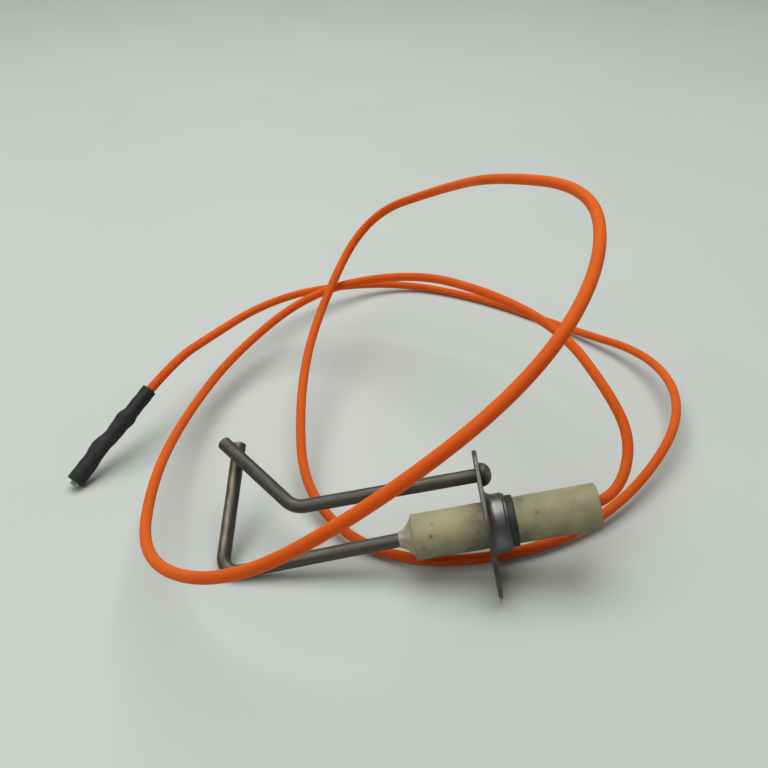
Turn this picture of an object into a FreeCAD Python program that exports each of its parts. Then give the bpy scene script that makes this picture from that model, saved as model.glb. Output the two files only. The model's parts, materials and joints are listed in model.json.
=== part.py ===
import FreeCAD, Part
import math
import os

# Ignition electrode with a high-voltage lead, in millimetres.
# Each piece is drawn in the electrode's own frame first: X runs along the insulator towards the lead,
# with 0 at the front face of the flange, and Z points at the earth rod.  The whole electrode is then
# laid on the table, where it rests on the lower lobe of the flange and on the bend of the spark rod.
# The part's frame has +Z up, X along the electrode towards the lead, and its origin on the table
# under the middle of the electrode's box, the lead left out.

# Insulator.
CERAMIC_RADIUS = 5.0
CERAMIC_FRONT = -15.7
CERAMIC_REAR = 24.3
CERAMIC_EDGE = 0.5
SHOULDER_RADIUS = 5.6
SHOULDER_FRONT = 1.6
SHOULDER_REAR = 3.4
ROD_BORE_RADIUS = 1.6
LEAD_BORE_RADIUS = 2.5
LEAD_BORE_START = 0.0

# Flange: a flat plate with a lobe at each end and a collar drawn out of its middle.
PLATE_THICKNESS = 1.0
PLATE_MIDDLE_RADIUS = 8.2
LOBE_RADIUS = 5.5
EARTH_LOBE_HEIGHT = 10.8
HOLE_LOBE_HEIGHT = -10.0
FIXING_HOLE_RADIUS = 2.15
PLATE_BORE_RADIUS = 5.1
COLLAR_RADIUS = 6.4
COLLAR_BORE_RADIUS = 5.65
COLLAR_REAR = 5.0
COLLAR_FLARE = 1.5
COLLAR_LIP = 0.35

# Rings that hold the insulator in the collar.
PACKING_RADIUS = 5.6
PACKING_BORE_RADIUS = 5.05
REAR_PACKING_REAR = 4.0
RETAINING_RING_RADIUS = 5.55
RETAINING_RING_REAR = 6.6
RETAINING_RING_EDGE = 0.3

# Rods.
ROD_RADIUS = 1.55
ROD_END_CHAMFER = 0.3
SPARK_ROD_INNER_END = 6.0
SPARK_KINK = (-19.0, 0.0, 0.0)
SPARK_CORNER = (-58.5, -1.2, -1.0)
SPARK_TIP = (-52.4, 5.3, 28.2)
SPARK_KINK_RADIUS = 12.0
SPARK_BEND_RADIUS = 3.2
EARTH_CORNER = (-40.7, 0.0, 10.8)
EARTH_TIP = (-55.0, 0.0, 28.5)
EARTH_BEND_RADIUS = 5.0
RIVET_HEAD_RADIUS = 2.6
RIVET_HEAD_HEIGHT = 2.4
RIVET_HEAD_EDGE = 0.4

# Cement cone where the spark rod leaves the insulator.
CEMENT_RADIUS = 4.7
CEMENT_LENGTH = 2.9
CEMENT_TIP_RADIUS = 1.85

# Splice inside the insulator, and the compound that holds the lead.
FERRULE_FRONT = 0.5
FERRULE_REAR = 11.5
FERRULE_RADIUS = 2.2
FERRULE_WEB = 0.6
POTTING_REAR = 18.5

# Lead.
LEAD_RADIUS = 1.2
CONDUCTOR_HOLE_RADIUS = 0.6
CONDUCTOR_RADIUS = 0.55
LEAD_START = 16.5
LEAD_EXIT_CORNER = 24.5

ARC_SHARE = 0.45

# Terminal and its sleeve, drawn along the terminal's own axis from the end where the lead comes in.
SLEEVE_START = 0.8
SLEEVE_REAR = 30.0
SLEEVE_PROFILE = ((0.8, 1.85), (5.0, 1.85), (9.0, 2.35), (13.0, 1.85), (17.0, 1.9), (21.5, 2.25),
                  (25.5, 2.05), (30.0, 2.0))
SLEEVE_GRIP_END = 5.5
SLEEVE_CRIMP_END = 17.5
SLEEVE_CRIMP_BORE = 1.5
SLEEVE_SOCKET_BORE = 1.8
LEAD_IN_SLEEVE = 10.0
INSULATION_CRIMP = (6.0, 9.5, 1.45)
CONDUCTOR_CRIMP = (11.0, 14.5, 1.0)
TONGUE_HALF_WIDTH = 0.35
TONGUE_THICKNESS = 0.35
SOCKET_START = 18.0
SOCKET_END = 29.7
SOCKET_WIDTH = 3.0
SOCKET_HEIGHT = 1.5
SOCKET_WALL = 0.35
SOCKET_SLOT = 1.0
SOCKET_LIP_END = 31.0
SOCKET_LIP_WIDTH = 1.5

# The lead's route from the insulator to the sleeve, after the two points on the insulator's axis.
LEAD_ROUTE = ((47, -2, 20), (50, 7, 25), (47, 17, 30), (40, 36, 34.8), (26, 57, 33.9), (7, 78, 29.4),
              (-22, 90, 18), (-45, 71, 8), (-55, 40, 8), (-57, 10, 13), (-53, -20, 18),
              (-33, -38, 31), (-8, -42, 52), (18, -30, 67), (34, -5, 74), (38, 22, 77),
              (24, 51, 68), (16, 80, 54), (-6, 103, 36), (-21, 73, 18), (-25, 43, 12),
              (-23, 12, 4), (-3, -7, 1.3), (32, -4, 1.3), (57, 12, 4), (76, 37, 9), (77, 68, 6),
              (58, 91, 1.3), (33, 112.5, 1.3), (5, 124, 1.6), (-23, 109, 8), (-39, 89, 13), (-50, 68, 16))
SLEEVE_RUN_OUT = 8.5
SLEEVE_TOP = (-62.9, 44.5, 15.1)
SLEEVE_END = (-79.8, 23.5, 2.0)
SOCKET_FACING = (-0.34, 0.68, -0.65)

X_AXIS = FreeCAD.Vector(1, 0, 0)
Y_AXIS = FreeCAD.Vector(0, 1, 0)
Z_AXIS = FreeCAD.Vector(0, 0, 1)
ROLL = 47.0


def vector(point):
    return FreeCAD.Vector(*point)


def disc_body(radius, start, end):
    """A cylinder on the X axis."""
    return Part.makeCylinder(radius, end - start, FreeCAD.Vector(start, 0, 0), X_AXIS)


def turned(edges):
    """A solid turned about the X axis from edges drawn in the XZ plane, X along and Z the radius."""
    face = Part.Face(Part.Wire(edges))
    return face.revolve(FreeCAD.Vector(0, 0, 0), X_AXIS, 360)


def profile_edges(points):
    """Straight edges round a closed outline of (along, radius) points."""
    corners = [FreeCAD.Vector(along, 0, radius) for along, radius in points]
    corners.append(corners[0])
    return Part.makePolygon(corners).Edges


def cornered_path(points, radii):
    """Straight runs joined by tangent arcs, one radius for each inner point."""
    edges = []
    start = points[0]
    for before, corner, after, radius in zip(points, points[1:], points[2:], radii):
        into = (corner - before).normalize()
        out = (after - corner).normalize()
        turn = into.getAngle(out)
        reach = radius * math.tan(turn / 2)
        arc_start = corner - into * reach
        arc_end = corner + out * reach
        inward = (out - into).normalize()
        arc_middle = corner + inward * (radius / math.cos(turn / 2) - radius)
        edges.append(Part.LineSegment(start, arc_start).toShape())
        edges.append(Part.Arc(arc_start, arc_middle, arc_end).toShape())
        start = arc_end
    edges.append(Part.LineSegment(start, points[-1]).toShape())
    return Part.Wire(edges)


def swept(path, radius):
    """A round bar along a path."""
    first = path.Edges[0]
    start = first.Vertexes[0].Point
    heading = first.Vertexes[1].Point - start
    section = Part.Wire(Part.makeCircle(radius, start, heading))
    return path.makePipeShell([section], True, False)


def ceramic_insulator():
    blank = disc_body(CERAMIC_RADIUS, CERAMIC_FRONT, CERAMIC_REAR)
    rims = [edge for edge in blank.Edges if isinstance(edge.Curve, Part.Circle)]
    blank = blank.makeFillet(CERAMIC_EDGE, rims)
    blank = blank.fuse(disc_body(SHOULDER_RADIUS, SHOULDER_FRONT, SHOULDER_REAR))
    blank = blank.cut(disc_body(ROD_BORE_RADIUS, CERAMIC_FRONT, LEAD_BORE_START))
    return blank.cut(disc_body(LEAD_BORE_RADIUS, LEAD_BORE_START, CERAMIC_REAR))


def plate_outline():
    """Two lobes and a wider middle, joined by straight tangents, in the YZ plane."""
    edges = []
    up_slope = math.asin((PLATE_MIDDLE_RADIUS - LOBE_RADIUS) / EARTH_LOBE_HEIGHT)
    down_slope = math.asin((PLATE_MIDDLE_RADIUS - LOBE_RADIUS) / -HOLE_LOBE_HEIGHT)

    def rim(centre, radius, angle):
        return FreeCAD.Vector(0, radius * math.cos(angle), centre + radius * math.sin(angle))

    top = [rim(EARTH_LOBE_HEIGHT, LOBE_RADIUS, angle)
           for angle in (up_slope, math.pi / 2, math.pi - up_slope)]
    low = [rim(HOLE_LOBE_HEIGHT, LOBE_RADIUS, -angle)
           for angle in (down_slope, math.pi / 2, math.pi - down_slope)]
    back = [rim(0, PLATE_MIDDLE_RADIUS, angle) for angle in (-down_slope, 0, up_slope)]
    front = [rim(0, PLATE_MIDDLE_RADIUS, math.pi - angle) for angle in (up_slope, 0, -down_slope)]
    edges.append(Part.Arc(*back).toShape())
    edges.append(Part.LineSegment(back[-1], top[0]).toShape())
    edges.append(Part.Arc(*top).toShape())
    edges.append(Part.LineSegment(top[-1], front[0]).toShape())
    edges.append(Part.Arc(*front).toShape())
    edges.append(Part.LineSegment(front[-1], low[-1]).toShape())
    edges.append(Part.Arc(low[-1], low[1], low[0]).toShape())
    edges.append(Part.LineSegment(low[0], back[0]).toShape())
    return Part.Wire(edges)


def collar():
    """The drawn collar, with a concave flare where it leaves the plate."""
    rear = PLATE_THICKNESS
    flare_foot = FreeCAD.Vector(rear, 0, COLLAR_RADIUS + COLLAR_FLARE)
    flare_top = FreeCAD.Vector(rear + COLLAR_FLARE, 0, COLLAR_RADIUS)
    slack = COLLAR_FLARE * (1 - math.sqrt(0.5))
    flare_middle = FreeCAD.Vector(rear + slack, 0, COLLAR_RADIUS + slack)
    lip_start = FreeCAD.Vector(COLLAR_REAR - COLLAR_LIP, 0, COLLAR_RADIUS)
    lip_end = FreeCAD.Vector(COLLAR_REAR, 0, COLLAR_RADIUS - COLLAR_LIP)
    inner_rear = FreeCAD.Vector(COLLAR_REAR, 0, COLLAR_BORE_RADIUS)
    inner_front = FreeCAD.Vector(PLATE_THICKNESS / 2, 0, COLLAR_BORE_RADIUS)
    foot = FreeCAD.Vector(PLATE_THICKNESS / 2, 0, COLLAR_RADIUS + COLLAR_FLARE)
    edges = [Part.Arc(flare_foot, flare_middle, flare_top).toShape()]
    corners = [flare_top, lip_start, lip_end, inner_rear, inner_front, foot, flare_foot]
    for start, end in zip(corners, corners[1:]):
        edges.append(Part.LineSegment(start, end).toShape())
    return turned(edges)


def mounting_flange():
    plate = Part.Face(plate_outline()).extrude(X_AXIS * PLATE_THICKNESS)
    flange = plate.fuse(collar()).removeSplitter()
    flange = flange.cut(disc_body(PLATE_BORE_RADIUS, 0, PLATE_THICKNESS))
    flange = flange.cut(disc_body(COLLAR_BORE_RADIUS, PLATE_THICKNESS, COLLAR_REAR))
    fixing_hole = disc_body(FIXING_HOLE_RADIUS, 0, PLATE_THICKNESS)
    fixing_hole.translate(Z_AXIS * HOLE_LOBE_HEIGHT)
    earth_hole = disc_body(ROD_RADIUS, 0, PLATE_THICKNESS)
    earth_hole.translate(Z_AXIS * EARTH_LOBE_HEIGHT)
    return flange.cut(fixing_hole).cut(earth_hole)


def packing_ring(start, end):
    return disc_body(PACKING_RADIUS, start, end).cut(disc_body(PACKING_BORE_RADIUS, start, end))


def retaining_ring():
    edge = RETAINING_RING_REAR - RETAINING_RING_EDGE
    bevel = RETAINING_RING_RADIUS - RETAINING_RING_EDGE
    outline = ((REAR_PACKING_REAR, PACKING_BORE_RADIUS), (REAR_PACKING_REAR, RETAINING_RING_RADIUS),
               (edge, RETAINING_RING_RADIUS), (RETAINING_RING_REAR, bevel),
               (RETAINING_RING_REAR, PACKING_BORE_RADIUS))
    return turned(profile_edges(outline))


def bevelled_end(rod, tip):
    """Breaks the edge at the free end of a rod."""
    rims = [edge for edge in rod.Edges
            if isinstance(edge.Curve, Part.Circle) and (edge.CenterOfMass - tip).Length < ROD_RADIUS / 2]
    return rod.makeChamfer(ROD_END_CHAMFER, rims)


def spark_rod():
    """Straight through the insulator, a slight kink in front of the cement, then the long bend up."""
    points = [FreeCAD.Vector(SPARK_ROD_INNER_END, 0, 0), vector(SPARK_KINK), vector(SPARK_CORNER),
              vector(SPARK_TIP)]
    rod = swept(cornered_path(points, [SPARK_KINK_RADIUS, SPARK_BEND_RADIUS]), ROD_RADIUS)
    return bevelled_end(rod, points[-1])


def rivet_head():
    """The domed head upset on the earth rod behind the plate: a disc under a ball of the right radius."""
    crown = PLATE_THICKNESS + RIVET_HEAD_HEIGHT
    dome_height = RIVET_HEAD_HEIGHT - RIVET_HEAD_EDGE
    ball_radius = (RIVET_HEAD_RADIUS ** 2 + dome_height ** 2) / (2 * dome_height)
    ball = Part.makeSphere(ball_radius, FreeCAD.Vector(crown - ball_radius, 0, 0))
    head = disc_body(RIVET_HEAD_RADIUS, PLATE_THICKNESS, crown).common(ball)
    head.translate(Z_AXIS * EARTH_LOBE_HEIGHT)
    return head


def earth_rod():
    inside_head = PLATE_THICKNESS + RIVET_HEAD_HEIGHT / 2
    points = [FreeCAD.Vector(inside_head, 0, EARTH_LOBE_HEIGHT), vector(EARTH_CORNER), vector(EARTH_TIP)]
    rod = swept(cornered_path(points, [EARTH_BEND_RADIUS]), ROD_RADIUS)
    return bevelled_end(rod, points[-1]).fuse(rivet_head())


def rod_cement():
    """A concave cone from the front face of the insulator down to the rod."""
    root = FreeCAD.Vector(CERAMIC_FRONT, 0, CEMENT_RADIUS)
    tip = FreeCAD.Vector(CERAMIC_FRONT - CEMENT_LENGTH, 0, CEMENT_TIP_RADIUS)
    waist = FreeCAD.Vector(CERAMIC_FRONT - 0.32 * CEMENT_LENGTH, 0, CEMENT_TIP_RADIUS + 1.0)
    corners = [tip, FreeCAD.Vector(tip.x, 0, ROD_RADIUS), FreeCAD.Vector(CERAMIC_FRONT, 0, ROD_RADIUS), root]
    edges = [Part.Arc(root, waist, tip).toShape()]
    for start, end in zip(corners, corners[1:]):
        edges.append(Part.LineSegment(start, end).toShape())
    return turned(edges)


def splice_ferrule():
    """The barrel that joins the rod to the lead's conductor, inside the insulator."""
    wire_end = SPARK_ROD_INNER_END + FERRULE_WEB
    barrel = disc_body(FERRULE_RADIUS, FERRULE_FRONT, FERRULE_REAR)
    barrel = barrel.cut(disc_body(ROD_RADIUS, FERRULE_FRONT, SPARK_ROD_INNER_END))
    return barrel.cut(disc_body(CONDUCTOR_RADIUS, wire_end, FERRULE_REAR))


def potting_plug():
    plug = disc_body(LEAD_BORE_RADIUS, FERRULE_REAR, POTTING_REAR)
    plug = plug.cut(disc_body(CONDUCTOR_RADIUS, FERRULE_REAR, LEAD_START))
    return plug.cut(disc_body(LEAD_RADIUS, LEAD_START, POTTING_REAR))


def sleeve():
    """The shrunk sleeve, which shows the two crimps under it as swellings."""
    rim = [FreeCAD.Vector(along, 0, radius) for along, radius in SLEEVE_PROFILE]
    skin = Part.BSplineCurve()
    skin.interpolate(rim)
    corners = [rim[-1], FreeCAD.Vector(SLEEVE_REAR, 0, 0), FreeCAD.Vector(SLEEVE_START, 0, 0), rim[0]]
    edges = [skin.toShape()]
    for start, end in zip(corners, corners[1:]):
        edges.append(Part.LineSegment(start, end).toShape())
    blank = turned(edges)
    blank = blank.cut(disc_body(LEAD_RADIUS, SLEEVE_START, SLEEVE_GRIP_END))
    blank = blank.cut(disc_body(SLEEVE_CRIMP_BORE, SLEEVE_GRIP_END, SLEEVE_CRIMP_END))
    return blank.cut(disc_body(SLEEVE_SOCKET_BORE, SLEEVE_CRIMP_END, SLEEVE_REAR))


def crimp_barrel(span, bore):
    start, end, radius = span
    return disc_body(radius, start, end).cut(disc_body(bore, start, end))


def tongue(start, end, height):
    """The flat strip that joins two stretches of the terminal."""
    corner = FreeCAD.Vector(start, -TONGUE_HALF_WIDTH, height)
    return Part.makeBox(end - start, 2 * TONGUE_HALF_WIDTH, TONGUE_THICKNESS, corner)


def socket_shell():
    """A flat box with a slot between its rolled edges; its floor runs on as a lip."""
    length = SOCKET_END - SOCKET_START
    inner_width = SOCKET_WIDTH - 2 * SOCKET_WALL
    inner_height = SOCKET_HEIGHT - 2 * SOCKET_WALL
    shell = Part.makeBox(length, SOCKET_WIDTH, SOCKET_HEIGHT,
                         FreeCAD.Vector(SOCKET_START, -SOCKET_WIDTH / 2, -SOCKET_HEIGHT / 2))
    cavity = Part.makeBox(length, inner_width, inner_height,
                          FreeCAD.Vector(SOCKET_START, -inner_width / 2, -inner_height / 2))
    slot = Part.makeBox(length, SOCKET_SLOT, SOCKET_HEIGHT,
                        FreeCAD.Vector(SOCKET_START, -SOCKET_SLOT / 2, 0))
    lip = Part.makeBox(SOCKET_LIP_END - SOCKET_START, SOCKET_LIP_WIDTH, SOCKET_WALL,
                       FreeCAD.Vector(SOCKET_START, -SOCKET_LIP_WIDTH / 2, -SOCKET_HEIGHT / 2))
    return shell.cut(cavity).cut(slot).fuse(lip)


def push_on_terminal():
    """One stamping: insulation crimp, conductor crimp and a socket with rolled sides."""
    tongue_height = -SOCKET_HEIGHT / 2
    first = tongue(INSULATION_CRIMP[0], CONDUCTOR_CRIMP[0], -INSULATION_CRIMP[2])
    riser = Part.makeBox(TONGUE_THICKNESS, 2 * TONGUE_HALF_WIDTH, INSULATION_CRIMP[2],
                         FreeCAD.Vector(CONDUCTOR_CRIMP[0], -TONGUE_HALF_WIDTH, -INSULATION_CRIMP[2]))
    second = tongue(CONDUCTOR_CRIMP[0], SOCKET_START + TONGUE_THICKNESS, tongue_height)
    terminal = crimp_barrel(INSULATION_CRIMP, LEAD_RADIUS)
    for piece in (crimp_barrel(CONDUCTOR_CRIMP, CONDUCTOR_RADIUS), socket_shell(), first, riser, second):
        terminal = terminal.fuse(piece)
    terminal = terminal.cut(disc_body(LEAD_RADIUS, INSULATION_CRIMP[0], LEAD_IN_SLEEVE))
    return terminal.cut(disc_body(CONDUCTOR_RADIUS, LEAD_IN_SLEEVE, CONDUCTOR_CRIMP[1])).removeSplitter()


def lead_radii(points):
    """The largest tangent arc that the two runs at each corner allow."""
    radii = []
    for before, corner, after in zip(points, points[1:], points[2:]):
        into = corner - before
        out = after - corner
        shorter = min(into.Length, out.Length)
        radii.append(ARC_SHARE * shorter / math.tan(into.getAngle(out) / 2))
    return radii


def lead_insulation(points):
    path = cornered_path(points, lead_radii(points))
    return swept(path, LEAD_RADIUS).cut(swept(path, CONDUCTOR_HOLE_RADIUS))


def lead_conductor(points):
    """The wire, which runs on from the insulation into the ferrule and into the terminal's crimp."""
    wire_start = SPARK_ROD_INNER_END + FERRULE_WEB
    lead_in = (points[1] - points[0]).normalize() * (LEAD_START - wire_start)
    run_out = (points[-1] - points[-2]).normalize() * (CONDUCTOR_CRIMP[1] - LEAD_IN_SLEEVE)
    ends = [points[0] - lead_in] + points[1:-1] + [points[-1] + run_out]
    return swept(cornered_path(ends, lead_radii(points)), CONDUCTOR_RADIUS)


def lowest(shape, placement):
    """How low a shape reaches when it is placed so."""
    placed = shape.copy()
    placed.Placement = placement
    return placed.optimalBoundingBox(False, False).ZMin


def leaning(tilt):
    """The roll about the electrode's own axis, then the forward lean of the axis."""
    lean = FreeCAD.Rotation(Y_AXIS, -tilt)
    return FreeCAD.Placement(FreeCAD.Vector(), lean.multiply(FreeCAD.Rotation(X_AXIS, -ROLL)))


def resting_placement(pieces):
    """Leans the electrode forward until the rod's bend touches the table too, and sets the origin."""
    flange = pieces["mounting_flange"]
    rod = pieces["spark_rod"]
    least, most = 0.0, 30.0
    for _ in range(24):
        tilt = (least + most) / 2
        if lowest(flange, leaning(tilt)) < lowest(rod, leaning(tilt)):
            least = tilt
        else:
            most = tilt
    whole = Part.makeCompound(list(pieces.values()))
    whole.Placement = leaning(tilt)
    box = whole.optimalBoundingBox(False, False)
    placement = leaning(tilt)
    placement.Base = FreeCAD.Vector(-box.Center.x, -box.Center.y, -box.ZMin)
    print("electrode leans", round(tilt, 2), "degrees; box", box.XLength, box.YLength, box.ZLength)
    return placement


def electrode_pieces():
    return {
        "ceramic_insulator": ceramic_insulator(),
        "mounting_flange": mounting_flange(),
        "front_packing_ring": packing_ring(PLATE_THICKNESS, SHOULDER_FRONT),
        "rear_packing_ring": packing_ring(SHOULDER_REAR, REAR_PACKING_REAR),
        "retaining_ring": retaining_ring(),
        "spark_rod": spark_rod(),
        "earth_rod": earth_rod(),
        "rod_cement": rod_cement(),
        "splice_ferrule": splice_ferrule(),
        "potting_plug": potting_plug(),
    }


def lead_pieces(placement):
    top = vector(SLEEVE_TOP)
    heading = (vector(SLEEVE_END) - top).normalize()
    points = [placement.multVec(FreeCAD.Vector(LEAD_START, 0, 0)),
              placement.multVec(FreeCAD.Vector(LEAD_EXIT_CORNER, 0, 0))]
    points.extend(vector(point) for point in LEAD_ROUTE)
    points.append(top - heading * SLEEVE_RUN_OUT)
    points.append(top + heading * LEAD_IN_SLEEVE)
    insulation = lead_insulation(points)
    turned_round = FreeCAD.Rotation(heading, FreeCAD.Vector(), vector(SOCKET_FACING), "XZY")
    at_the_end = FreeCAD.Placement(top, turned_round)
    cover = sleeve()
    terminal = push_on_terminal()
    cover.Placement = at_the_end
    terminal.Placement = at_the_end
    radii = lead_radii(points)
    length = cornered_path(points, radii).Length
    section = math.pi * (LEAD_RADIUS ** 2 - CONDUCTOR_HOLE_RADIUS ** 2)
    print("lead starts", points[0], points[1], "ends", points[-2], points[-1])
    print("lead radii", [round(radius, 1) for radius in radii])
    print("lead runs", [round((b - a).Length, 1) for a, b in zip(points, points[1:])])
    print("lead length", round(length, 1), "volume", insulation.Volume, "section x length", section * length)
    return {
        "lead_insulation": insulation,
        "lead_conductor": lead_conductor(points),
        "terminal_sleeve": cover,
        "push_on_terminal": terminal,
    }


def main():
    os.makedirs("parts", exist_ok=True)
    pieces = electrode_pieces()
    placement = resting_placement(pieces)
    for shape in pieces.values():
        shape.Placement = placement
    pieces.update(lead_pieces(placement))
    for name, shape in pieces.items():
        box = shape.optimalBoundingBox(False, False)
        print(name, shape.isValid(), len(shape.Solids), round(shape.Volume, 2), round(box.ZMin, 3))
        shape.exportStep("parts/" + name + ".step")


main()
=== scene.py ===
import json
import math

import bmesh
import bpy
from mathutils import Matrix, Vector, noise


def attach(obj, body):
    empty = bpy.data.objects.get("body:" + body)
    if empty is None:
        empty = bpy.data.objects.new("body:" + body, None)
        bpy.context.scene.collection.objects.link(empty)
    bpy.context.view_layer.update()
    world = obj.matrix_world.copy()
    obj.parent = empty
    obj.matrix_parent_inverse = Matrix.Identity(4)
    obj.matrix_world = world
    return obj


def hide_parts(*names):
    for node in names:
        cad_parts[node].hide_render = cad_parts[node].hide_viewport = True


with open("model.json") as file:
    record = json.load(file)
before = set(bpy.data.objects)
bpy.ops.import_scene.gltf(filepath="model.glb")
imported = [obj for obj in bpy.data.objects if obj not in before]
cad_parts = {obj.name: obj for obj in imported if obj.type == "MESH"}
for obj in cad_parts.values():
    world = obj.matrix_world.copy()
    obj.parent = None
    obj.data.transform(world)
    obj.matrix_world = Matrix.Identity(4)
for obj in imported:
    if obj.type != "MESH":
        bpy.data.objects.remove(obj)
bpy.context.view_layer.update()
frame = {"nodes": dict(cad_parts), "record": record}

# Lengths are named in millimetres and turned into metres where a mesh is made.
MM = 0.001

# The electrode's own frame: X along the insulator towards the lead, 0 at the flange's front face,
# Z towards the earth rod.  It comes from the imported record's mounts.
MOUNTS = {mount["name"]: mount for mount in frame["record"]["mounts"]}
SEAT_DEPTH = 6.4
HOLE_MIDDLE = 0.5
AXIS = -Vector(MOUNTS["flange_seat"]["axis"]).normalized()
SEAT = Vector(MOUNTS["flange_seat"]["pos_m"])
HOLE = Vector(MOUNTS["fixing_hole"]["pos_m"]) - AXIS * HOLE_MIDDLE * MM
UP = (SEAT - HOLE).normalized()
BACK = UP.cross(AXIS)
ELECTRODE = Matrix((AXIS, BACK, UP)).transposed().to_4x4()
ELECTRODE.translation = SEAT + UP * SEAT_DEPTH * MM

# The lead's route in the part's frame, the same points as the CAD tube's.  Its inner points began
# as the control points of a fitted curve, rounded, and were then moved.
LEAD_RADIUS = 1.2
LEAD_POINTS = ((33.124, -6.047, 15.295), (40.971, -6.047, 16.851),
               (47, -2, 20), (50, 7, 25), (47, 17, 30), (40, 36, 34.8), (26, 57, 33.9), (7, 78, 29.4),
               (-22, 90, 18), (-45, 71, 8), (-55, 40, 8), (-57, 10, 13), (-53, -20, 18),
               (-33, -38, 31), (-8, -42, 52), (18, -30, 67), (34, -5, 74), (38, 22, 77),
               (24, 51, 68), (16, 80, 54), (-6, 103, 36), (-21, 73, 18), (-25, 43, 12),
               (-23, 12, 4), (-3, -7, 1.3), (32, -4, 1.3), (57, 12, 4), (76, 37, 9), (77, 68, 6),
               (58, 91, 1.3), (33, 112.5, 1.3), (5, 124, 1.6), (-23, 109, 8), (-39, 89, 13), (-50, 68, 16),
               (-58.107, 50.456, 18.815), (-68.539, 37.493, 10.729))
CERAMIC_REAR = 24.3

# The terminal's frame: X along the terminal from the end where the lead comes in.
SLEEVE_RUN_OUT = 8.5
SOCKET_FACING = Vector((-0.34, 0.68, -0.65))

# Camera.
CAMERA_PLACE = (-10.4, -137.3, 141.8)
CAMERA_RIGHT = Vector((0.9991, -0.0424, 0.0))
CAMERA_FORWARD = Vector((0.0347, 0.8184, -0.5736))
CAMERA_LENS = 39.84
SENSOR = 36.0


# ---------------------------------------------------------------- camera, light and floor

def make_camera():
    data = bpy.data.cameras.new("camera")
    data.lens = CAMERA_LENS
    data.sensor_width = SENSOR
    data.clip_start = 0.005
    data.clip_end = 20.0
    camera = bpy.data.objects.new("camera", data)
    bpy.context.scene.collection.objects.link(camera)
    forward = CAMERA_FORWARD.normalized()
    right = CAMERA_RIGHT.normalized()
    above = right.cross(forward)
    camera.matrix_world = Matrix((right, above, -forward)).transposed().to_4x4()
    camera.location = Vector(CAMERA_PLACE) * MM
    bpy.context.scene.camera = camera


def area_light(name, place, aim, size, power, colour):
    data = bpy.data.lights.new(name, "AREA")
    data.shape = "DISK"
    data.size = size
    data.energy = power
    data.color = colour
    light = bpy.data.objects.new(name, data)
    bpy.context.scene.collection.objects.link(light)
    light.location = place
    light.visible_camera = False
    light.rotation_euler = (Vector(aim) - Vector(place)).to_track_quat("-Z", "Y").to_euler()


def make_lights():
    middle = (0.0, 0.03, 0.0)
    area_light("window", (-0.50, -0.45, 0.85), middle, 0.60, 2.7, (1.0, 0.985, 0.95))
    area_light("ceiling", (-0.05, 0.28, 0.90), middle, 0.96, 8.1, (0.98, 1.0, 0.985))
    world = bpy.data.worlds.new("studio")
    world.use_nodes = True
    background = world.node_tree.nodes["Background"]
    background.inputs["Color"].default_value = (0.90, 0.93, 0.92, 1.0)
    background.inputs["Strength"].default_value = 0.17
    bpy.context.scene.world = world
    bpy.context.scene.view_settings.view_transform = "Standard"


# ---------------------------------------------------------------- materials

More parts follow.
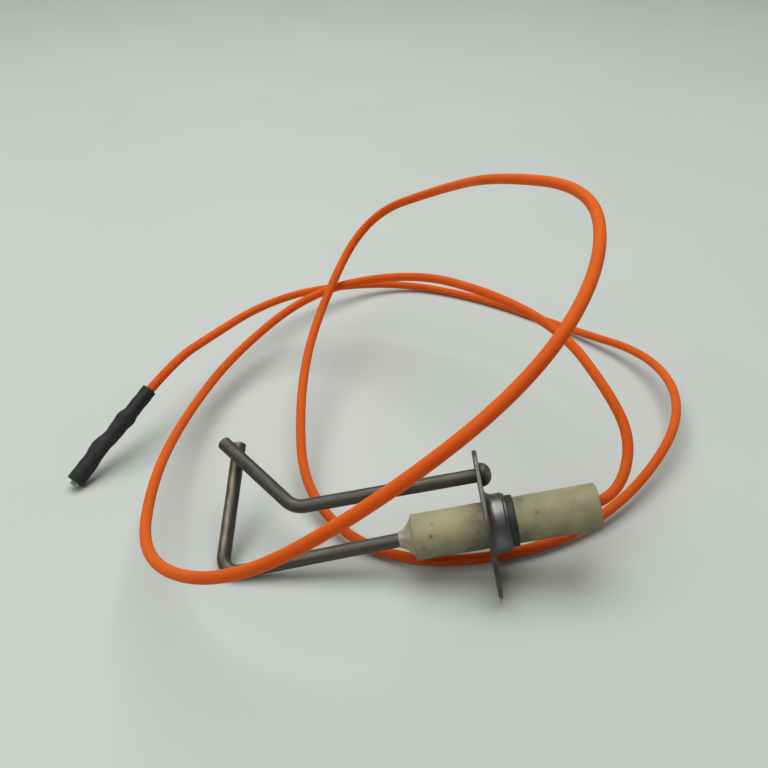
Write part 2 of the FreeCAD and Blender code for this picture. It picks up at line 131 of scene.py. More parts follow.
class Shader:
    """A material's node tree, with short ways to add nodes and links."""

    def __init__(self, name, roughness, metallic=0.0, specular=0.5):
        self.material = bpy.data.materials.new(name)
        self.material.use_nodes = True
        self.tree = self.material.node_tree
        self.surface = self.tree.nodes["Principled BSDF"]
        self.surface.inputs["Roughness"].default_value = roughness
        self.surface.inputs["Metallic"].default_value = metallic
        self.surface.inputs["Specular IOR Level"].default_value = specular
        self.place = self.tree.nodes.new("ShaderNodeTexCoord")

    def link(self, source, target):
        self.tree.links.new(source, target)

    def scaled(self, output, scale):
        mapping = self.tree.nodes.new("ShaderNodeMapping")
        mapping.inputs["Scale"].default_value = scale
        self.link(self.place.outputs[output], mapping.inputs["Vector"])
        return mapping.outputs["Vector"]

    def noise(self, scale, detail=3.0, rough=0.5, distortion=0.0, output="Object"):
        """Noise whose scale is its number of features per millimetre, in X, Y and Z or in all."""
        if not isinstance(scale, tuple):
            scale = (scale, scale, scale)
        per_metre = tuple(value / MM for value in scale) if output == "Object" else scale
        texture = self.tree.nodes.new("ShaderNodeTexNoise")
        texture.inputs["Scale"].default_value = 1.0
        texture.inputs["Detail"].default_value = detail
        texture.inputs["Roughness"].default_value = rough
        texture.inputs["Distortion"].default_value = distortion
        self.link(self.scaled(output, per_metre), texture.inputs["Vector"])
        return texture.outputs["Fac"]

    def attribute(self, name):
        node = self.tree.nodes.new("ShaderNodeAttribute")
        node.attribute_name = name
        return node.outputs["Fac"]

    def ramp(self, source, low, high, start=0.0, end=1.0):
        """A clamped straight map from the range low..high to start..end."""
        node = self.tree.nodes.new("ShaderNodeMapRange")
        node.inputs["From Min"].default_value = low
        node.inputs["From Max"].default_value = high
        node.inputs["To Min"].default_value = start
        node.inputs["To Max"].default_value = end
        self.link(source, node.inputs["Value"])
        return node.outputs["Result"]

    def times(self, first, second):
        node = self.tree.nodes.new("ShaderNodeMath")
        node.operation = "MULTIPLY"
        self.link(first, node.inputs[0])
        self.link(second, node.inputs[1])
        return node.outputs["Value"]

    def mix(self, factor, first, second):
        """Blends two colours; each is an output or three numbers."""
        node = self.tree.nodes.new("ShaderNodeMix")
        node.data_type = "RGBA"
        self.link(factor, node.inputs[0])
        for socket, value in ((node.inputs[6], first), (node.inputs[7], second)):
            if isinstance(value, tuple):
                socket.default_value = (*value, 1.0)
            else:
                self.link(value, socket)
        return node.outputs[2]

    def colour(self, value):
        self.link(value, self.surface.inputs["Base Color"])

    def roughness(self, value):
        self.link(value, self.surface.inputs["Roughness"])

    def bump(self, height, depth):
        """Adds a bump of a depth in millimetres over any earlier one."""
        node = self.tree.nodes.new("ShaderNodeBump")
        node.inputs["Strength"].default_value = 1.0
        node.inputs["Distance"].default_value = depth * MM
        self.link(height, node.inputs["Height"])
        before = self.surface.inputs["Normal"]
        if before.is_linked:
            self.link(before.links[0].from_socket, node.inputs["Normal"])
        self.link(node.outputs["Normal"], before)


def ceramic_material():
    """Unglazed cream ceramic, patchy, with a few dark marks, handling smears and painted shade on its
    underside and beside the plate and the gland.
    """
    shader = Shader("ceramic", 0.62, specular=0.35)
    patches = shader.ramp(shader.noise(0.14, detail=4.0, distortion=0.6), 0.38, 0.66)
    body = shader.mix(patches, (0.368, 0.340, 0.183), (0.290, 0.266, 0.158))
    smears = shader.ramp(shader.noise((0.10, 0.5, 0.5), detail=5.0), 0.56, 0.74, 0.0, 0.45)
    body = shader.mix(smears, body, (0.250, 0.228, 0.160))
    specks = shader.ramp(shader.noise(2.2, detail=2.0), 0.70, 0.76, 0.0, 0.6)
    body = shader.mix(specks, body, (0.16, 0.13, 0.09))
    # Painted shade: a dark brownish tone on the underside and beside the plate and the gland, with some real
    # smudging beside the parts.
    body = shader.mix(shader.attribute("underside_shade_and_smudge"), body, (0.118, 0.102, 0.076))
    body = shader.mix(shader.attribute("stain"), body, (0.055, 0.050, 0.040))
    shader.colour(body)
    shader.roughness(shader.ramp(shader.noise(0.6), 0.3, 0.7, 0.52, 0.74))
    shader.bump(shader.noise(5.0, detail=4.0), 0.02)
    shader.bump(shader.noise(0.7, detail=3.0), 0.03)
    return shader.material


def flange_material():
    """Pressed steel that has darkened, with rubbed bright patches and fine scratches."""
    shader = Shader("pressed_steel", 0.42, metallic=0.9)
    cloud = shader.ramp(shader.noise(0.35, detail=5.0, distortion=0.5), 0.35, 0.68)
    body = shader.mix(cloud, (0.150, 0.149, 0.147), (0.090, 0.087, 0.082))
    heat = shader.ramp(shader.noise(0.16, detail=3.0), 0.52, 0.72, 0.0, 0.5)
    body = shader.mix(heat, body, (0.125, 0.103, 0.080))
    body = shader.mix(shader.attribute("wear_and_painted_highlight"), body, (0.24, 0.235, 0.222))
    body = shader.mix(shader.attribute("burnish"), body, (0.185, 0.183, 0.176))
    shader.colour(body)
    dull = shader.ramp(shader.noise(1.1, detail=5.0), 0.3, 0.7, 0.38, 0.54)
    shader.roughness(shader.times(dull, shader.ramp(shader.attribute("burnish"), 0.0, 1.0, 1.0, 0.75)))
    shader.bump(shader.noise((0.6, 6.0, 0.6), detail=3.0), 0.003)
    shader.bump(shader.noise(1.4, detail=4.0), 0.004)
    return shader.material


def rod_material():
    """Drawn heat-resisting steel: lengthwise streaks, grey-brown heat tint, rubbed crests and tips, and a
    painted highlight stripe in the same light colour down the spark rod's upright.
    """
    shader = Shader("drawn_rod", 0.50, metallic=0.75, specular=0.35)
    tint = shader.ramp(shader.noise(0.22, detail=4.0, distortion=0.8), 0.36, 0.66)
    body = shader.mix(tint, (0.092, 0.088, 0.076), (0.062, 0.058, 0.048))
    streak = shader.ramp(shader.noise((3.2, 0.12, 1.0), detail=4.0, output="UV"), 0.42, 0.66)
    streak = shader.times(streak, shader.ramp(tint, 0.0, 1.0, 0.25, 0.7))
    body = shader.mix(streak, body, (0.200, 0.168, 0.118))
    # Rubbed wear at the tips and bends shares this light colour with a painted highlight stripe on the spark
    # rod's upright.
    body = shader.mix(shader.attribute("wear_and_painted_highlight"), body, (0.36, 0.315, 0.235))
    shader.colour(body)
    drawn = shader.noise((2.0, 0.2, 1.0), detail=4.0, output="UV")
    shader.roughness(shader.ramp(drawn, 0.3, 0.7, 0.44, 0.62))
    shader.bump(shader.noise((4.5, 0.15, 1.0), detail=3.0, output="UV"), 0.012)
    shader.bump(shader.noise(0.9, detail=4.0), 0.02)
    return shader.material


def ring_material():
    shader = Shader("black_ring", 0.62, specular=0.4)
    body = shader.mix(shader.ramp(shader.noise(0.8, detail=4.0), 0.35, 0.7),
                      (0.016, 0.017, 0.018), (0.032, 0.034, 0.033))
    shader.colour(body)
    shader.roughness(shader.ramp(shader.noise(1.5), 0.3, 0.7, 0.5, 0.75))
    shader.bump(shader.noise(3.0, detail=4.0), 0.03)
    return shader.material


def cement_material():
    """Dry refractory cement, faintly pink and grainy."""
    shader = Shader("cement", 0.85, specular=0.2)
    body = shader.mix(shader.ramp(shader.noise(0.9, detail=4.0), 0.35, 0.68),
                      (0.46, 0.375, 0.285), (0.33, 0.275, 0.215))
    shader.colour(body)
    shader.bump(shader.noise(4.0, detail=5.0, rough=0.65), 0.06)
    return shader.material


def silicone_material():
    """Orange silicone rubber with a satin skin and a little dust."""
    shader = Shader("orange_silicone", 0.66, specular=0.10)
    shader.surface.inputs["Subsurface Weight"].default_value = 1.0
    shader.surface.inputs["Subsurface Radius"].default_value = (1.0, 0.50, 0.20)
    shader.surface.inputs["Subsurface Scale"].default_value = 4.0 * MM
    drift = shader.ramp(shader.noise(0.05, detail=3.0), 0.36, 0.66)
    body = shader.mix(drift, (0.64, 0.114, 0.012), (0.59, 0.102, 0.010))
    dust = shader.ramp(shader.noise(1.3, detail=5.0, rough=0.6), 0.60, 0.80, 0.0, 0.10)
    body = shader.mix(dust, body, (0.62, 0.20, 0.06))
    shader.colour(body)
    shader.roughness(shader.ramp(shader.noise(0.5, detail=4.0), 0.3, 0.7, 0.60, 0.72))
    shader.bump(shader.noise(2.6, detail=3.0), 0.012)
    return shader.material


def sleeve_material():
    """Matt black shrink sleeve."""
    shader = Shader("shrink_sleeve", 0.62, specular=0.25)
    body = shader.mix(shader.ramp(shader.noise(0.6, detail=4.0), 0.35, 0.7),
                      (0.018, 0.021, 0.019), (0.034, 0.037, 0.034))
    shader.colour(body)
    shader.roughness(shader.ramp(shader.noise(1.2), 0.3, 0.7, 0.55, 0.72))
    shader.bump(shader.noise((0.5, 3.5, 3.5), detail=4.0), 0.03)
    return shader.material


def metal_material(name, light, dark, roughness):
    """Plain bright metal with a little tarnish."""
    shader = Shader(name, roughness, metallic=1.0)
    shader.colour(shader.mix(shader.ramp(shader.noise(0.9, detail=4.0), 0.35, 0.7), light, dark))
    shader.roughness(shader.ramp(shader.noise(2.0), 0.3, 0.7, roughness - 0.08, roughness + 0.12))
    shader.bump(shader.noise(4.0), 0.01)
    return shader.material


def packing_material(name, light, dark):
    """Pressed fibre or cured compound inside the insulator and the collar."""
    shader = Shader(name, 0.8, specular=0.25)
    shader.colour(shader.mix(shader.ramp(shader.noise(1.6, detail=5.0), 0.35, 0.7), light, dark))
    shader.bump(shader.noise(5.0, detail=4.0), 0.03)
    return shader.material


def floor_material():
    shader = Shader("pale_table", 0.55, specular=0.25)
    shader.colour(shader.mix(shader.ramp(shader.noise(0.012, detail=3.0), 0.35, 0.7),
                             (0.580, 0.608, 0.577), (0.558, 0.588, 0.560)))
    shader.bump(shader.noise(0.8, detail=3.0), 0.01)
    return shader.material


# ---------------------------------------------------------------- mesh helpers

def finished(name, mesh, material, matrix, sharp=0.6):
    """Smooths a mesh, gives it its material and puts it in the scene on the one body."""
    mesh.materials.append(material)
    for polygon in mesh.polygons:
        polygon.use_smooth = True
    mesh.set_sharp_from_angle(angle=sharp)
    piece = bpy.data.objects.new(name, mesh)
    bpy.context.scene.collection.objects.link(piece)
    piece.matrix_world = matrix
    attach(piece, "root")
    return piece


def arc_corner(before, corner, after, radius, steps=5):
    """Points round a filleted corner of an outline."""
    into = (corner - before).normalized()
    out = (after - corner).normalized()
    turn = math.acos(max(-1.0, min(1.0, into.dot(out))))
    if radius <= 0 or turn < 0.02:
        return [corner]
    reach = radius * math.tan(turn / 2)
    inward = (out - into).normalized()
    centre = corner + inward * (radius / math.cos(turn / 2))
    start = corner - into * reach - centre
    end = corner + out * reach - centre
    return [centre + start.slerp(end, step / steps) * radius for step in range(steps + 1)]


def outline(corners, spacing=None):
    """A closed outline of (along, radius, fillet) corners, its long stretches cut up."""
    points = []
    count = len(corners)
    flat = [Vector(corner[:2]) for corner in corners]
    for index, corner in enumerate(corners):
        points.extend(arc_corner(flat[index - 1], flat[index], flat[(index + 1) % count], corner[2]))
    if spacing is None:
        return points
    cut = []
    for start, end in zip(points, points[1:] + points[:1]):
        pieces = max(1, round((end - start).length / spacing))
        cut.extend(start.lerp(end, step / pieces) for step in range(pieces))
    return cut


def swept_rings(rings, closed):
    """Vertices and faces that join rings of points; closed joins the last ring to the first."""
    size = len(rings[0])
    vertices = [point * MM for ring in rings for point in ring]
    faces = []
    last = len(rings) if closed else len(rings) - 1
    for row in range(last):
        below = row * size
        above = (row + 1) % len(rings) * size
        for step in range(size):
            across = (step + 1) % size
            faces.append((below + step, below + across, above + across, above + step))
    return vertices, faces


def lathe_mesh(name, profile, segments, relief=None):
    """Turns a closed outline about the X axis.  relief(x, angle, radius) moves the radius."""
    rings = []
    for along, radius in profile:
        ring = []
        for step in range(segments):
            angle = 2 * math.pi * step / segments
            reach = radius + (relief(along, angle, radius) if relief else 0.0)
            ring.append(Vector((along, reach * math.sin(angle), reach * math.cos(angle))))
        rings.append(ring)
    vertices, faces = swept_rings(rings, closed=True)
    mesh = bpy.data.meshes.new(name)
    mesh.from_pydata(vertices, [], faces)
    return mesh


def paint(mesh, name, amount):
    """Stores amount(x, y, z in millimetres) on each vertex for the material to read."""
    layer = mesh.attributes.new(name, "FLOAT", "POINT")
    for vertex in mesh.vertices:
        layer.data[vertex.index].value = amount(vertex.co / MM)


def joined(name, meshes):
    """One mesh out of several."""
    work = bmesh.new()
    for mesh in meshes:
        work.from_mesh(mesh)
    mesh = bpy.data.meshes.new(name)
    work.to_mesh(mesh)
    work.free()
    return mesh


def rough(point, scale, amount, seed=0.0):
    """Smooth noise of an amount, the same each run."""
    return amount * noise.noise(Vector(point) * scale + Vector((seed, seed, seed)))


# ---------------------------------------------------------------- insulator

CERAMIC_RADIUS = 5.0
CERAMIC_FRONT = -15.7
SHOULDER_RADIUS = 5.6
SHOULDER_FRONT = 1.6
SHOULDER_REAR = 3.4
ROD_BORE_RADIUS = 1.6
LEAD_BORE_RADIUS = 2.5
LEAD_BORE_START = 0.0
# Marks on the side that the camera sees: place along the axis, height across it, size and strength.
CERAMIC_MARKS = ((-11.1, 1.9, 0.30, 0.70), (-11.6, -0.6, 0.34, 0.90), (-13.5, -2.9, 0.42, 0.50),
                 (-12.4, -3.7, 0.30, 0.30), (-8.2, -2.0, 0.50, 0.22), (10.9, 0.7, 0.32, 0.60),
                 (10.2, -2.3, 0.50, 0.35), (8.3, 3.9, 0.75, 0.40), (19.3, 2.0, 0.25, 0.25))


def mark_strength(point):
    """How dark the nearest mark is at a point of the side that the camera sees."""
    strength = 0.0
    for along, height, size, amount in CERAMIC_MARKS:
        if point.y < 0:
            away = math.hypot(point.x - along, point.z - height) / size
            away *= 1 + 0.7 * noise.noise(point * 1.9)
            strength = max(strength, amount * math.exp(-away * away))
    return strength


def underside_shade_and_smudge_strength(point):
    """Painted shade on the underside, and brown smudges beside the plate and behind the gland that are partly
    real staining and partly painted shade where the parts meet.
    """
    under = max(0.0, (0.35 * point.y - 0.94 * point.z) / CERAMIC_RADIUS)
    beside = 0.55 * math.exp(-((point.x + 1.0) / 3.2) ** 2) + 0.35 * math.exp(-((point.x - 7.2) / 1.8) ** 2)
    uneven = 1 + 0.6 * noise.noise(point * 0.35) + 0.4 * noise.noise(point * 1.1)
    return max(0.0, min(0.8, (0.75 * under + beside) * uneven))


def ceramic_relief(along, angle, radius):
    """Slight waviness, dents at the marks and small chips along the two rims, outside the bores."""
    if radius < CERAMIC_RADIUS - 1.5:
        return 0.0
    place = Vector((along, radius * math.sin(angle), radius * math.cos(angle)))
    dent = 0.09 * mark_strength(place)
    chips = max(0.0, noise.noise(place * 0.9) - 0.33) * 0.35
    rim = max(0.0, 1.0 - min(along - CERAMIC_FRONT, CERAMIC_REAR - along) / 0.7)
    return rough(place, 0.25, 0.035) - dent - chips * rim


def make_insulator():
    corners = ((CERAMIC_FRONT, ROD_BORE_RADIUS, 0.1), (CERAMIC_FRONT, CERAMIC_RADIUS, 0.45),
               (1.55, CERAMIC_RADIUS, 0.2), (SHOULDER_FRONT, SHOULDER_RADIUS, 0.1),
               (SHOULDER_REAR, SHOULDER_RADIUS, 0.1), (SHOULDER_REAR, CERAMIC_RADIUS, 0.2),
               (CERAMIC_REAR, CERAMIC_RADIUS, 0.4), (CERAMIC_REAR, LEAD_BORE_RADIUS, 0.35),
               (LEAD_BORE_START, LEAD_BORE_RADIUS, 0.2), (LEAD_BORE_START, ROD_BORE_RADIUS, 0.1))
    mesh = lathe_mesh("insulator_body", outline(corners, 0.25), 240, ceramic_relief)
    paint(mesh, "stain", mark_strength)
    # Painted shade on the underside, together with the smudges beside the plate and the gland.
    paint(mesh, "underside_shade_and_smudge", underside_shade_and_smudge_strength)
    piece = finished("insulator_body", mesh, ceramic_material(), ELECTRODE)
    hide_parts("ceramic_insulator")


# ---------------------------------------------------------------- flange

PLATE_THICKNESS = 1.0
PLATE_EDGE = 0.22
PLATE_MIDDLE_RADIUS = 8.2
LOBE_RADIUS = 5.5
EARTH_LOBE_HEIGHT = 10.8
HOLE_LOBE_HEIGHT = -10.0
PLATE_BORE_RADIUS = 5.1
FIXING_HOLE_RADIUS = 2.15
EARTH_HOLE_RADIUS = 1.56
COLLAR_RADIUS = 6.4
COLLAR_BORE_RADIUS = 5.62
COLLAR_REAR = 5.0
FLARE_FRONT = 0.82
FLARE_RADIUS = 1.75
FLARE_STEPS = 12


def lobe_arc(centre, radius, start, end, steps):
    """Points round an arc about a centre at some height on the plate's middle line."""
    return [(radius * math.cos(angle), centre + radius * math.sin(angle))
            for angle in (start + (end - start) * step / steps for step in range(steps + 1))]


def plate_outline():
    """The plate's rim, back side first, as (y, z) points."""
    up = math.asin((PLATE_MIDDLE_RADIUS - LOBE_RADIUS) / EARTH_LOBE_HEIGHT)
    down = math.asin((PLATE_MIDDLE_RADIUS - LOBE_RADIUS) / -HOLE_LOBE_HEIGHT)
    half_turn = math.pi
    rim = lobe_arc(0.0, PLATE_MIDDLE_RADIUS, -down, up, 16)
    rim += lobe_arc(EARTH_LOBE_HEIGHT, LOBE_RADIUS, up, half_turn - up, 40)
    rim += lobe_arc(0.0, PLATE_MIDDLE_RADIUS, half_turn - up, half_turn + down, 16)
    rim += lobe_arc(HOLE_LOBE_HEIGHT, LOBE_RADIUS, half_turn + down, 2 * half_turn - down, 40)
    return rim


def plate_mesh():
    """A flat outline with holes, thickened and given rounded edges by a 2-D curve."""
    curve = bpy.data.curves.new("plate", "CURVE")
    curve.dimensions = "2D"
    curve.fill_mode = "BOTH"
    curve.extrude = (PLATE_THICKNESS / 2 - PLATE_EDGE) * MM
    curve.bevel_depth = PLATE_EDGE * MM
    curve.bevel_resolution = 3
    curve.offset = -PLATE_EDGE * MM
    full_turn = 2 * math.pi
    loops = [plate_outline(), lobe_arc(0.0, PLATE_BORE_RADIUS, 0, full_turn, 72)[:-1],
             lobe_arc(HOLE_LOBE_HEIGHT, FIXING_HOLE_RADIUS, 0, full_turn, 48)[:-1],
             lobe_arc(EARTH_LOBE_HEIGHT, EARTH_HOLE_RADIUS, 0, full_turn, 40)[:-1]]
    for loop in loops:
        spline = curve.splines.new("POLY")
        spline.points.add(len(loop) - 1)
        spline.use_cyclic_u = True
        for point, (across, height) in zip(spline.points, loop):
            point.co = (across * MM, height * MM, 0.0, 1.0)
    holder = bpy.data.objects.new("plate_holder", curve)
    mesh = bpy.data.meshes.new_from_object(holder)
    bpy.data.objects.remove(holder)
    middle = PLATE_THICKNESS / 2
    for vertex in mesh.vertices:
        across, height, depth = vertex.co
        vertex.co = Vector((depth + middle * MM, across, height))
    return mesh


def collar_mesh():
    """The drawn collar: a swept flare from the plate, a plain wall and a thin turned lip."""
    flare = []
    for step in range(FLARE_STEPS + 1):
        angle = math.pi / 2 * step / FLARE_STEPS
        along = FLARE_FRONT + FLARE_RADIUS * (1 - math.cos(angle))
        flare.append(Vector((along, COLLAR_RADIUS + FLARE_RADIUS * (1 - math.sin(angle)))))
    rim = outline(((2.57, COLLAR_RADIUS, 0.0), (4.35, COLLAR_RADIUS, 0.3), (4.55, 6.12, 0.1),
                   (COLLAR_REAR, 6.05, 0.12), (COLLAR_REAR, COLLAR_BORE_RADIUS, 0.1),
                   (0.5, COLLAR_BORE_RADIUS, 0.1), (0.5, 8.15, 0.0)))
    return lathe_mesh("collar", flare + rim[1:], 160)


def flange_wear(point):
    """Rubbed metal along the rim of the plate and the crest of the collar."""
    edge = max(0.0, noise.noise(point * 0.55) + 0.25)
    crest = math.exp(-((point.x - 4.3) / 0.3) ** 2)
    at_rim = 0.8 if point.x < 0.06 else 0.15
    far = math.hypot(point.y, point.z)
    outer = 1.0 if point.x <= PLATE_THICKNESS and far > PLATE_MIDDLE_RADIUS - 0.3 else 0.0
    return min(1.0, edge * (0.15 * crest + 0.5 * outer * at_rim))


def flange_burnish(point):
    """The drawn wall of the collar, smoothed by the press tool."""
    return max(0.0, min(0.9, (point.x - 1.4) / 1.2, (4.25 - point.x) / 0.25))


def make_flange():
    mesh = joined("flange_pressing", [plate_mesh(), collar_mesh()])
    paint(mesh, "wear_and_painted_highlight", flange_wear)
    paint(mesh, "burnish", flange_burnish)
    piece = finished("flange_pressing", mesh, flange_material(), ELECTRODE)
    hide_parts("mounting_flange")


def make_retaining_ring():
    corners = ((4.0, 5.08, 0.05), (4.0, 5.58, 0.05), (6.6, 5.55, 0.28), (6.6, 5.06, 0.15))

    def relief(along, angle, radius):
        place = Vector((along, radius * math.sin(angle), radius * math.cos(angle)))
        return rough(place, 0.8, 0.06) if radius > 5.3 else 0.0

    mesh = lathe_mesh("gland_ring", outline(corners, 0.2), 160, relief)
    piece = finished("gland_ring", mesh, ring_material(), ELECTRODE)
    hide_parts("retaining_ring")


# ---------------------------------------------------------------- rods

ROD_RADIUS = 1.55
ROD_SEGMENTS = 48
ROD_ROW_SPACING = 0.35
ROD_BEND_STEPS = 24
RIVET_DOME_HEIGHT = 2.13
RIVET_DOME_RADIUS = 2.56
RIVET_STEPS = 16
CEMENT_LENGTH = 3.0
CEMENT_BORE_RADIUS = 1.56
CEMENT_STEPS = 24


def bent_line(points, radii):
    """Closely spaced points along straight runs joined by arcs, one radius for each inner point."""
    places = [Vector(point) for point in points]
    stops = [[places[0]]]
    for before, corner, after, radius in zip(places, places[1:], places[2:], radii):
        stops.append(arc_corner(before, corner, after, radius, ROD_BEND_STEPS))
    stops.append([places[-1]])
    line = []
    for bend, following in zip(stops, stops[1:]):
        line += bend
        gap = following[0] - bend[-1]
        pieces = max(1, round(gap.length / ROD_ROW_SPACING))
        line += [bend[-1] + gap * step / pieces for step in range(1, pieces)]
    return line + stops[-1]


def rod_mesh(name, line, first_end, last_end, seed):
    """A round bar along a line.  The ends are (inset, radius) rings from the wall to the face."""
    heading = (line[1] - line[0]).normalized()
    across = heading.orthogonal().normalized()
    rings = []
    lengths = []
    run = 0.0
    entries = [(line[0] + heading * inset, radius, -inset) for inset, radius in reversed(first_end)]
    before = line[0]
    for point in line:
        run += (point - before).length
        before = point
        entries.append((point, ROD_RADIUS, run))
    tail = (line[-1] - line[-2]).normalized()
    entries += [(line[-1] + tail * inset, radius, run + inset) for inset, radius in last_end]
    for index, (point, radius, run) in enumerate(entries):
        if 0 < index < len(entries) - 1:
            ahead = entries[index + 1][0] - entries[index - 1][0]
            if ahead.length > 1e-6:
                heading = ahead.normalized()
        across = (across - heading * across.dot(heading)).normalized()
        other = heading.cross(across)
        ring = []
        for step in range(ROD_SEGMENTS):
            angle = 2 * math.pi * step / ROD_SEGMENTS
            side = across * math.cos(angle) + other * math.sin(angle)
            skin = point + side * radius
            uneven = rough(skin, 0.35, 0.03, seed) + rough(skin, 1.6, 0.008, seed)
            ring.append(skin + side * uneven * min(1.0, radius / ROD_RADIUS))
        rings.append(ring)
        lengths.append(run)
    vertices, faces = swept_rings(rings, closed=False)
    size = ROD_SEGMENTS
    faces.append(tuple(reversed(range(size))))
    faces.append(tuple(range(len(vertices) - size, len(vertices))))
    mesh = bpy.data.meshes.new(name)
    mesh.from_pydata(vertices, [], faces)
    layer = mesh.uv_layers.new(name="along")
    for polygon in mesh.polygons:
        wraps = any(mesh.loops[loop].vertex_index % size == 0 for loop in polygon.loop_indices)
        for loop in polygon.loop_indices:
            row, step = divmod(mesh.loops[loop].vertex_index, size)
            if wraps and step == 0 and any(
                    mesh.loops[other].vertex_index % size == size - 1 for other in polygon.loop_indices):
                step = size
            layer.data[loop].uv = (2 * math.pi * ROD_RADIUS * step / size, lengths[row])
    return mesh


def rod_end(chamfer, bulge):
    """Rings from the wall over a broken edge to the face of a sheared end."""
    return [(chamfer * 0.15, ROD_RADIUS - chamfer * 0.08), (chamfer * 0.5, ROD_RADIUS - chamfer * 0.35),
            (chamfer, ROD_RADIUS - chamfer), (chamfer + bulge * 0.6, ROD_RADIUS * 0.5),
            (chamfer + bulge, ROD_RADIUS * 0.12)]


def make_spark_rod(material):
    end = rod_end(0.28, 0.05)
    tip = Vector((-52.4, 5.3, 28.2))
    kink = Vector((-19.0, 0.0, 0.0))
    corner = Vector((-58.5, -1.2, -1.0))
    short = (tip - corner).normalized() * 0.33
    line = bent_line(((6.0, 0.0, 0.0), kink, corner, tip - short), (12.0, 3.2))
    mesh = rod_mesh("spark_electrode", line, [(0.0, ROD_RADIUS - 0.02)], end, 3.0)

    def wear_and_painted_highlight(point):
        at_tip = max(0.0, 1.0 - (point - tip).length / 1.7)
        outside_bend = math.exp(-((point - corner).length / 3.2) ** 2)
        rubbed = 0.25 * outside_bend * max(0.0, 0.5 + noise.noise(point * 0.8))
        height = (point.z - corner.z) / (tip.z - corner.z)
        aside = point - corner.lerp(tip, height)
        # A painted highlight: a light stripe down the upright on the side that the camera sees, a little off
        # its middle.
        painted_highlight_stripe = math.exp(-((aside.x + 0.35) / 0.6) ** 2) if aside.y < 0 else 0.2
        painted_highlight_stripe *= max(0.0, 0.72 + 0.8 * noise.noise(Vector((point.x * 0.9, point.y * 0.9, point.z * 0.2))))
        return min(1.0, at_tip + rubbed + painted_highlight_stripe * max(0.0, min(1.0, height * 6 - 0.6)))

    paint(mesh, "wear_and_painted_highlight", wear_and_painted_highlight)
    piece = finished("spark_electrode", mesh, material, ELECTRODE)
    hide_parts("spark_rod")


def rivet_mesh():
    """The upset head: a slightly uneven dome with a pressed rim against the plate."""
    profile = [Vector((PLATE_THICKNESS, 1.3)), Vector((PLATE_THICKNESS, 2.5))]
    for step in range(RIVET_STEPS + 1):
        angle = math.pi / 2 * step / RIVET_STEPS
        along = 1.25 + RIVET_DOME_HEIGHT * math.sin(angle)
        profile.append(Vector((along, 0.02 + RIVET_DOME_RADIUS * math.cos(angle) ** 0.9)))

    def relief(along, angle, radius):
        place = Vector((along, radius * math.sin(angle), radius * math.cos(angle)))
        return rough(place, 0.5, 0.14, 7.0) * min(1.0, radius / 2.0)

    mesh = lathe_mesh("rivet", profile, 72, relief)
    for vertex in mesh.vertices:
        vertex.co.z += EARTH_LOBE_HEIGHT * MM
    return mesh


def make_earth_rod(material):
    end = rod_end(0.42, 0.12)
    tip = Vector((-55.0, 0.0, 28.5))
    corner = Vector((-40.7, 0.0, EARTH_LOBE_HEIGHT))
    short = (tip - corner).normalized() * 0.54
    line = bent_line(((1.2, 0.0, EARTH_LOBE_HEIGHT), corner, tip - short), (5.0,))
    bar = rod_mesh("earth_bar", line, [(0.0, ROD_RADIUS - 0.02)], end, 11.0)
    mesh = joined("earth_electrode", [bar, rivet_mesh()])

    def wear_and_painted_highlight(point):
        at_tip = max(0.0, 1.0 - (point - tip).length / 1.8)
        on_head = 0.45 if point.x > 2.0 else 0.0
        return min(1.0, (at_tip + on_head) * max(0.0, 0.6 + noise.noise(point * 0.7)))

    paint(mesh, "wear_and_painted_highlight", wear_and_painted_highlight)
    piece = finished("earth_electrode", mesh, material, ELECTRODE)
    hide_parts("earth_rod")


def make_cement():
    """A lumpy collar of cement drawn down to the rod."""
    foot = CERAMIC_FRONT + 0.02
    profile = [Vector((foot, CEMENT_BORE_RADIUS)), Vector((foot, 4.62))]
    for step in range(1, CEMENT_STEPS + 1):
        share = step / CEMENT_STEPS
        profile.append(Vector((CERAMIC_FRONT - CEMENT_LENGTH * share, 1.82 + 2.75 * (1 - share) ** 2.1)))
    profile.append(Vector((CERAMIC_FRONT - CEMENT_LENGTH - 0.12, CEMENT_BORE_RADIUS)))

    def relief(along, angle, radius):
        place = Vector((along, radius * math.sin(angle), radius * math.cos(angle)))
        lumps = rough(place, 0.55, 0.5, 5.0) + rough(place, 1.8, 0.16, 2.0)
        clear = min(1.0, max(0.0, radius - CEMENT_BORE_RADIUS) / 0.8)
        return lumps * clear * min(1.0, (4.9 - radius) / 0.8 + 0.1)

    mesh = lathe_mesh("cement_cone", profile, 128, relief)
    piece = finished("cement_cone", mesh, cement_material(), ELECTRODE, sharp=1.2)
    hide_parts("rod_cement")


# ---------------------------------------------------------------- lead, sleeve and terminal

def make_lead():
    curve = bpy.data.curves.new("silicone_lead", "CURVE")
    curve.dimensions = "3D"
    spline = curve.splines.new("NURBS")
    spline.points.add(len(LEAD_POINTS) - 1)
    for point, place in zip(spline.points, LEAD_POINTS):
        point.co = (*(value * MM for value in place), 1.0)
    spline.order_u = 3
    spline.use_endpoint_u = True
    spline.resolution_u = 24
    curve.bevel_depth = LEAD_RADIUS * MM
    curve.bevel_resolution = 10
    curve.use_fill_caps = True
    curve.materials.append(silicone_material())
    lead = bpy.data.objects.new("silicone_lead", curve)
    bpy.context.scene.collection.objects.link(lead)
    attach(lead, "root")
    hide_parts("lead_insulation", "lead_conductor")
    return lead


def terminal_frame():
    last, end = (Vector(point) for point in LEAD_POINTS[-2:])
    heading = (end - last).normalized()
    facing = (SOCKET_FACING - heading * SOCKET_FACING.dot(heading)).normalized()
    matrix = Matrix((heading, facing.cross(heading), facing)).transposed().to_4x4()
    matrix.translation = (last + heading * SLEEVE_RUN_OUT) * MM
    return matrix


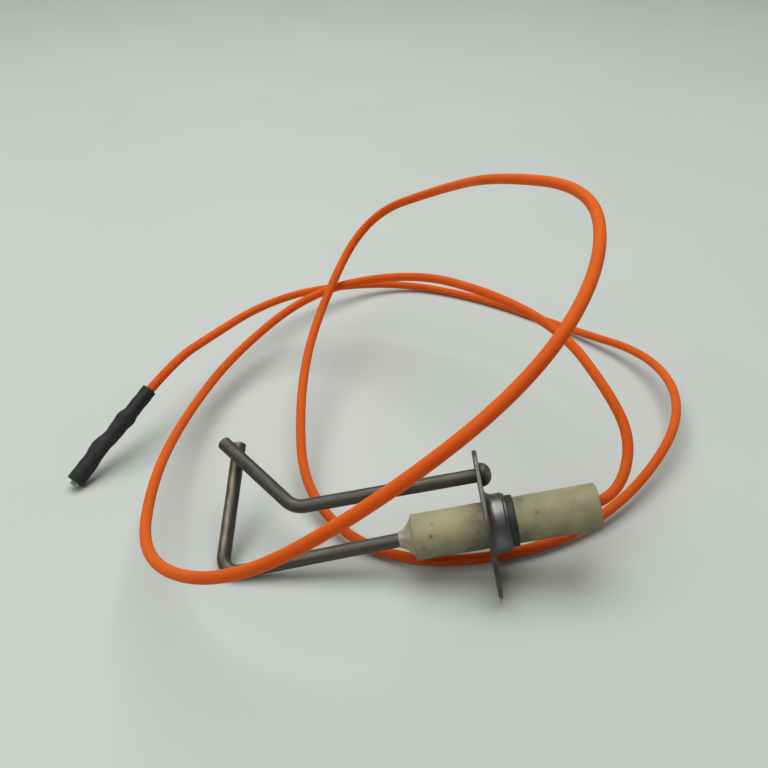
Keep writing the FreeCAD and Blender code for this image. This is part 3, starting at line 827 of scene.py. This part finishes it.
SLEEVE_START = 0.8
SLEEVE_END = 30.0
SLEEVE_SEGMENTS = 72
SLEEVE_ROWS = 150
SLEEVE_WALL = 0.3
# Towards its start the sleeve is thicker, so that it grips the lead.
SLEEVE_GRIP_WALL = 0.62
SLEEVE_GRIP_END = 5.5
# Half-widths of the sleeve along it, on its two sides and across its flat faces, as the crimps
# and the socket inside it swell it.
SLEEVE_LEFT = ((0.8, 1.86), (7.8, 1.84), (10.8, 2.41), (12.8, 2.18), (15.6, 1.93), (19.6, 2.66),
               (20.9, 2.62), (23.5, 2.19), (29.4, 2.18), (30.0, 2.12))
SLEEVE_RIGHT = ((0.8, 1.92), (7.8, 1.90), (9.9, 2.28), (12.8, 2.02), (15.8, 1.92), (18.6, 1.66),
                (21.5, 1.72), (24.0, 2.10), (29.4, 2.20), (30.0, 2.14))
SLEEVE_DEPTH = ((0.8, 1.88), (7.0, 1.80), (9.5, 2.20), (13.0, 1.85), (17.0, 1.72), (20.0, 1.64), (30.0, 1.58))


def eased(table, along):
    """A smooth value between the entries of a short table."""
    for (start, low), (end, high) in zip(table, table[1:]):
        if along <= end:
            share = (along - start) / (end - start)
            return low + (high - low) * share * share * (3 - 2 * share)
    return table[-1][1]


def sleeve_ring(along, inset):
    """A ring of the sleeve's section, wide along Y and shallow along Z, a wall's depth inside it."""
    left = eased(SLEEVE_LEFT, along)
    right = eased(SLEEVE_RIGHT, along)
    depth = eased(SLEEVE_DEPTH, along)
    points = []
    for step in range(SLEEVE_SEGMENTS):
        angle = 2 * math.pi * step / SLEEVE_SEGMENTS
        across = math.sin(angle)
        above = math.cos(angle)
        width = (left + right) / 2 + (left - right) / 2 * across
        place = Vector((along, width * across, depth * above))
        uneven = rough(place, 0.45, 0.10, 4.0) + rough(place, 1.7, 0.03, 9.0) - inset
        points.append(place + Vector((0.0, across, above)) * uneven)
    return points


def make_sleeve(matrix):
    step = (SLEEVE_END - SLEEVE_START) / SLEEVE_ROWS
    rings = [sleeve_ring(SLEEVE_START + step * row, 0.0) for row in range(SLEEVE_ROWS + 1)]
    rings.append(sleeve_ring(SLEEVE_END, SLEEVE_WALL * 0.4))
    rings.append(sleeve_ring(SLEEVE_END - 0.04, SLEEVE_WALL))
    for row in range(SLEEVE_ROWS - 1, 0, -1):
        along = SLEEVE_START + step * row
        rings.append(sleeve_ring(along, SLEEVE_GRIP_WALL if along < SLEEVE_GRIP_END else SLEEVE_WALL))
    rings.append(sleeve_ring(SLEEVE_START, SLEEVE_GRIP_WALL))
    vertices, faces = swept_rings(rings, closed=True)
    mesh = bpy.data.meshes.new("shrunk_sleeve")
    mesh.from_pydata(vertices, [], faces)
    piece = finished("shrunk_sleeve", mesh, sleeve_material(), matrix, sharp=0.9)
    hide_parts("terminal_sleeve")
    return piece


def make_pieces_on_cad(frame_nodes):
    """Materials for the CAD pieces that are shown as they are."""
    packing = packing_material("mineral_packing", (0.40, 0.37, 0.31), (0.29, 0.27, 0.23))
    looks = {
        "front_packing_ring": packing,
        "rear_packing_ring": packing,
        "splice_ferrule": metal_material("plated_ferrule", (0.55, 0.55, 0.53), (0.40, 0.39, 0.37), 0.35),
        "potting_plug": packing_material("potting", (0.33, 0.31, 0.26), (0.24, 0.23, 0.20)),
        "push_on_terminal": metal_material("tinned_strip", (0.66, 0.64, 0.58), (0.48, 0.46, 0.40), 0.42),
    }
    for name, material in looks.items():
        node = frame_nodes[name]
        node.data.materials.clear()
        node.data.materials.append(material)


def make_floor():
    reach = 3.0
    corners = [(-reach, -reach, 0.0), (reach, -reach, 0.0), (reach, reach, 0.0), (-reach, reach, 0.0)]
    mesh = bpy.data.meshes.new("table_top")
    mesh.from_pydata(corners, [], [(0, 1, 2, 3)])
    mesh.materials.append(floor_material())
    floor = bpy.data.objects.new("table_top", mesh)
    bpy.context.scene.collection.objects.link(floor)


make_camera()
lead = make_lead()
terminal_place = terminal_frame()
sleeve = make_sleeve(terminal_place)
make_insulator()
make_flange()
make_retaining_ring()
rod_steel = rod_material()
make_spark_rod(rod_steel)
make_earth_rod(rod_steel)
make_cement()
make_pieces_on_cad(frame["nodes"])
make_floor()
make_lights()
